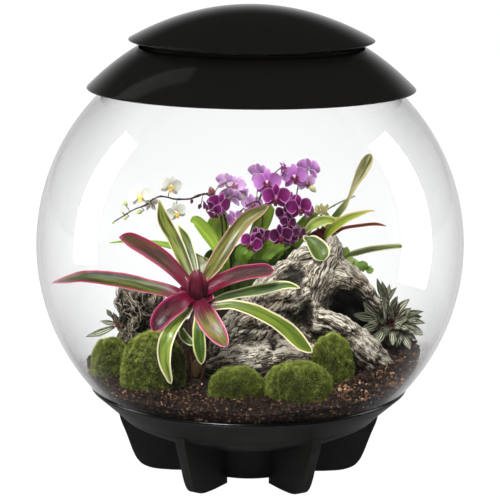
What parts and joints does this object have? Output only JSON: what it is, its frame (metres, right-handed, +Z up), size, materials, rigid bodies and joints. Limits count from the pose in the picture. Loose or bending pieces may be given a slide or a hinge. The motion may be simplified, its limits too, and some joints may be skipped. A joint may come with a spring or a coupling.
{
  "type": "planted glass globe terrarium",
  "caption": "Planted glass globe terrarium on a finned black stand with a stepped domed lid, holding soil, moss, driftwood, bromeliads and orchids.",
  "frame": {"origin": "on the floor under the globe's vertical axis", "axes": "+Z up along the globe's axis, -Y towards the planting's front, +X to the viewer's right"},
  "size_m": [0.5, 0.5, 0.5561],
  "materials": {
    "stand_plastic": "satin black moulded",
    "seal_rubber": "smooth black",
    "globe_glass": "clear polished",
    "lid_plastic": "high gloss black",
    "inner_plastic": "pale moulded",
    "lamp_board_white": "white solder mask",
    "lamp_diffuser": "opal",
    "fan_plastic": "black moulded",
    "filter_foam": "open foam, black",
    "tank_plastic": "clear smoke",
    "mist_metal": "brushed",
    "soil": "moist bark and peat crumbs",
    "driftwood": "weathered grey grain",
    "root_bark": "fibrous grey-brown",
    "moss": "soft velvet green",
    "bromeliad_red": "waxy leaf, crimson and green",
    "bromeliad_cream": "waxy leaf, green with cream edges",
    "bromeliad_b_leaf": "waxy leaf, lime and olive",
    "orchid_leaf": "fleshy lime green",
    "orchid_purple": "velvet magenta petals",
    "orchid_white": "white petals, yellow lip",
    "peperomia": "dark green, silver veins",
    "creeper": "small round green leaves"
  },
  "bodies": {
    "root": {"stand": "stand_plastic", "base_seal": "seal_rubber", "globe": "globe_glass", "globe_seal": "seal_rubber", "lid_ring": "lid_plastic", "lid_cap": "lid_plastic", "lid_tray": "inner_plastic", "lamp_board": "lamp_board_white", "lamp_lens": "lamp_diffuser", "fan_frame": "fan_plastic", "fan_rotor": "fan_plastic", "air_filter": "filter_foam", "mist_tank": "tank_plastic", "mist_tank_lid": "tank_plastic", "mist_unit": "mist_metal", "power_inlet": "fan_plastic", "planting_plate": "fan_plastic", "soil": "soil", "driftwood": "driftwood", "root_clump": "root_bark", "moss_left_small": "moss", "moss_left_large": "moss", "moss_centre": "moss", "moss_front_right": "moss", "moss_right": "moss", "bromeliad_a_crown": "bromeliad_red", "bromeliad_a_leaf_05": "bromeliad_cream", "bromeliad_a_leaf_03": "bromeliad_cream", "bromeliad_a_leaf_04": "bromeliad_cream", "bromeliad_a_leaf_06": "bromeliad_cream", "bromeliad_a_leaf_08": "bromeliad_cream", "bromeliad_a_leaf_09": "bromeliad_cream", "bromeliad_a_leaf_12": "bromeliad_cream", "bromeliad_a_leaf_13": "bromeliad_cream", "bromeliad_a_leaf_01": "bromeliad_red", "bromeliad_a_leaf_02": "bromeliad_red", "bromeliad_a_leaf_07": "bromeliad_red", "bromeliad_a_leaf_10": "bromeliad_red", "bromeliad_a_leaf_11": "bromeliad_red", "bromeliad_b_crown": "bromeliad_b_leaf", "bromeliad_b_leaf_01": "bromeliad_b_leaf", "bromeliad_b_leaf_02": "bromeliad_b_leaf", "bromeliad_b_leaf_03": "bromeliad_b_leaf", "bromeliad_b_leaf_04": "bromeliad_b_leaf", "bromeliad_b_leaf_06": "bromeliad_b_leaf", "orchid_spray_purple_left": "orchid_purple", "orchid_spray_purple_mid": "orchid_purple", "orchid_spray_purple_right": "orchid_purple", "orchid_spray_white": "orchid_white", "orchid_spray_yellow": "orchid_white", "orchid_leaf_01": "orchid_leaf", "orchid_leaf_02": "orchid_leaf", "orchid_leaf_03": "orchid_leaf", "orchid_leaf_04": "orchid_leaf", "orchid_leaf_05": "orchid_leaf", "orchid_leaf_06": "orchid_leaf", "orchid_leaf_07": "orchid_leaf", "peperomia_right": "peperomia", "peperomia_left": "peperomia", "creeper": "creeper"}
  },
  "joints": []
}
